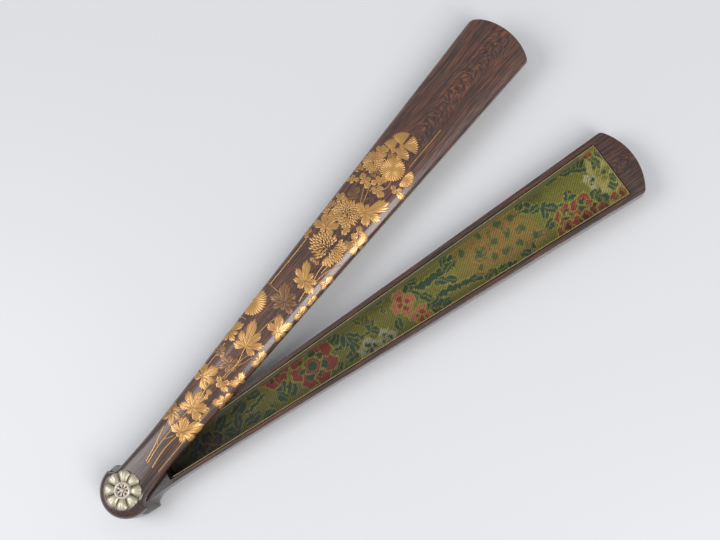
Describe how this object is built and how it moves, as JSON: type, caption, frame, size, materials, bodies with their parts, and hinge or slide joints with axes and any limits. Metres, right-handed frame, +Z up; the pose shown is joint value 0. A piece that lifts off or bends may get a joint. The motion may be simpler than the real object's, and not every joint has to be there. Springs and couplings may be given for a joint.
{
  "type": "fan-shaped storage case",
  "caption": "Slim case shaped like a closed folding fan: a fabric-lined wooden tray and a domed lid that swings sideways on one rivet with a flower-shaped cap.",
  "frame": {"origin": "middle of the tray's flat underside, on its centre line", "axes": "+X along the tray from the rivet to the tip, +Y towards the side the lid opens to, +Z up out of the tray"},
  "size_m": [0.3002, 0.1182, 0.0202],
  "materials": {
    "wood": "dark figured hardwood, polished to a gloss",
    "brocade": "ribbed green brocade with woven flowers",
    "gilt_thread": "thin pale gilt edging thread",
    "card": "plain card wedge under the cloth",
    "steel": "drawn rivet wire",
    "brass": "plain turned",
    "silver": "pale patinated silver, softly polished"
  },
  "bodies": {
    "tray": {"tray_shell": "wood", "tray_floor_lining": "brocade", "tray_side_lining_left": "brocade", "tray_side_lining_right": "brocade", "tray_end_lining": "brocade", "ramp_wedge": "card", "tray_edge_trim_left": "gilt_thread", "tray_edge_trim_right": "gilt_thread", "tray_edge_trim_end": "gilt_thread", "pivot_pin": "steel", "tray_bush": "brass", "hub_washer": "brass", "lower_washer": "silver", "rosette_boss": "silver"},
    "lid": {"lid_shell": "wood", "lid_lining": "brocade", "lid_bush": "brass", "rosette_petals": "silver", "rosette_ring": "silver", "rosette_wheel": "silver"}
  },
  "joints": [
    {"name": "lid_swing", "type": "hinge", "parent": "tray", "child": "lid", "pos_m": [-0.1365, 0, 0.01215], "axis": [0, 0, 1], "range_deg": [-17.3, 162.7]}
  ]
}
